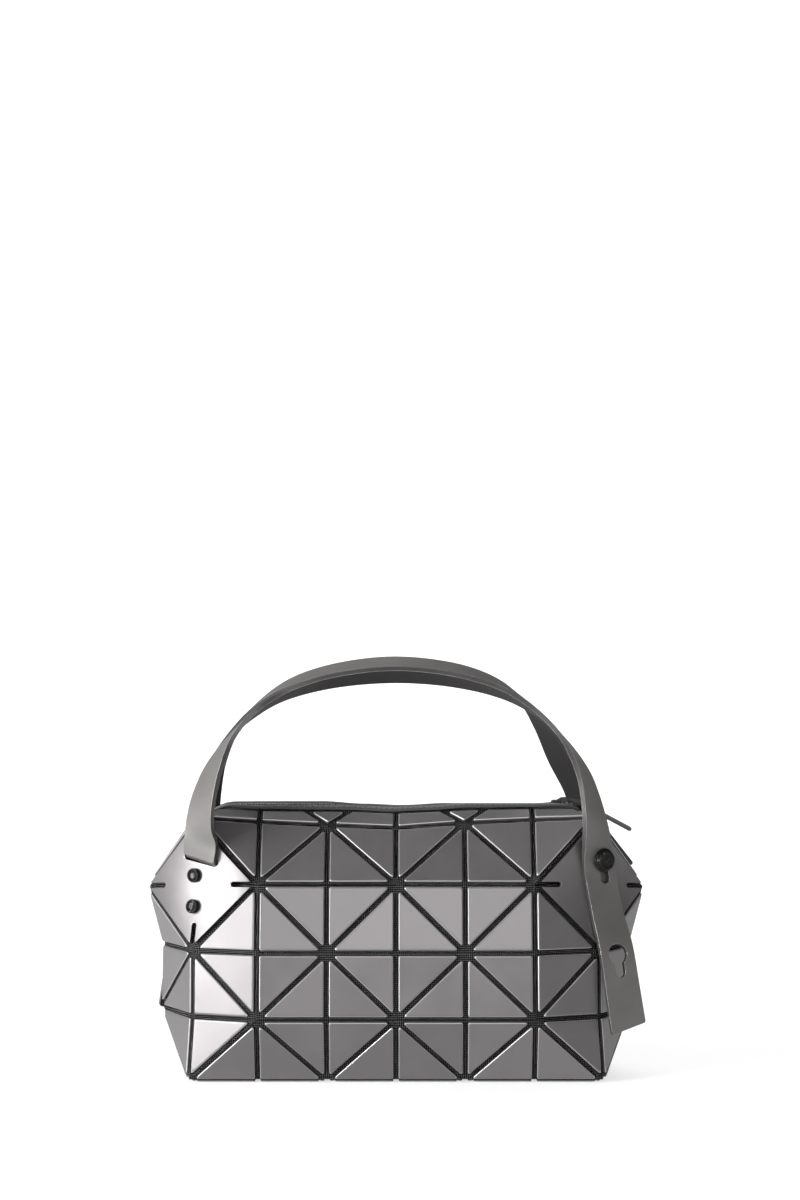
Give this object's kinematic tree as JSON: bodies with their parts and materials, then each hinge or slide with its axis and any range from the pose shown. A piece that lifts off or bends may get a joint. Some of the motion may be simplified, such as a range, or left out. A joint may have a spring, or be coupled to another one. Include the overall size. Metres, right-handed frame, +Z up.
{
  "type": "boston bag",
  "caption": "Small boston bag of stiff triangular tiles on black cloth, with bent corner panels, strap handles and a top zip.",
  "frame": {"origin": "centre of the footprint on the floor, at the height of the base tiles' faces", "axes": "+X to the viewer's right along the bag's length, -Y out of the front towards the viewer, +Z up"},
  "size_m": [0.2536, 0.0978, 0.2126],
  "materials": {
    "tile": "satin gunmetal grey plastic tiles on black mesh cloth",
    "strap": "satin grey, dark on the inner face",
    "cloth": "woven black",
    "metal": "gloss black"
  },
  "bodies": {
    "bag": {"body_shell": "tile", "opening_binding": "cloth", "zip_tape_front": "cloth", "zip_tape_back": "cloth", "zip_chain": "metal", "zip_slider_1": "metal", "zip_slider_2": "metal", "corner_panel_front_left": "tile", "corner_panel_front_right": "tile", "corner_panel_back_right": "tile", "corner_panel_back_left": "tile", "strap_front": "strap", "strap_back": "strap", "round_stud_front_1": "metal", "round_stud_front_2": "metal", "round_stud_back_1": "metal", "round_stud_back_2": "metal", "button_stud_front": "metal", "button_stud_back": "metal"},
    "pull_1": {"zip_pull_1": "metal"},
    "pull_2": {"zip_pull_2": "metal"}
  },
  "joints": [
    {"name": "pull_1_hinge", "type": "hinge", "parent": "bag", "child": "pull_1", "pos_m": [0.0864, 0, 0.13906], "axis": [0, -1, 0], "range_deg": [0, 135]},
    {"name": "pull_2_hinge", "type": "hinge", "parent": "bag", "child": "pull_2", "pos_m": [0.09603, 0, 0.13359], "axis": [0, -1, 0], "range_deg": [0, 135]}
  ]
}
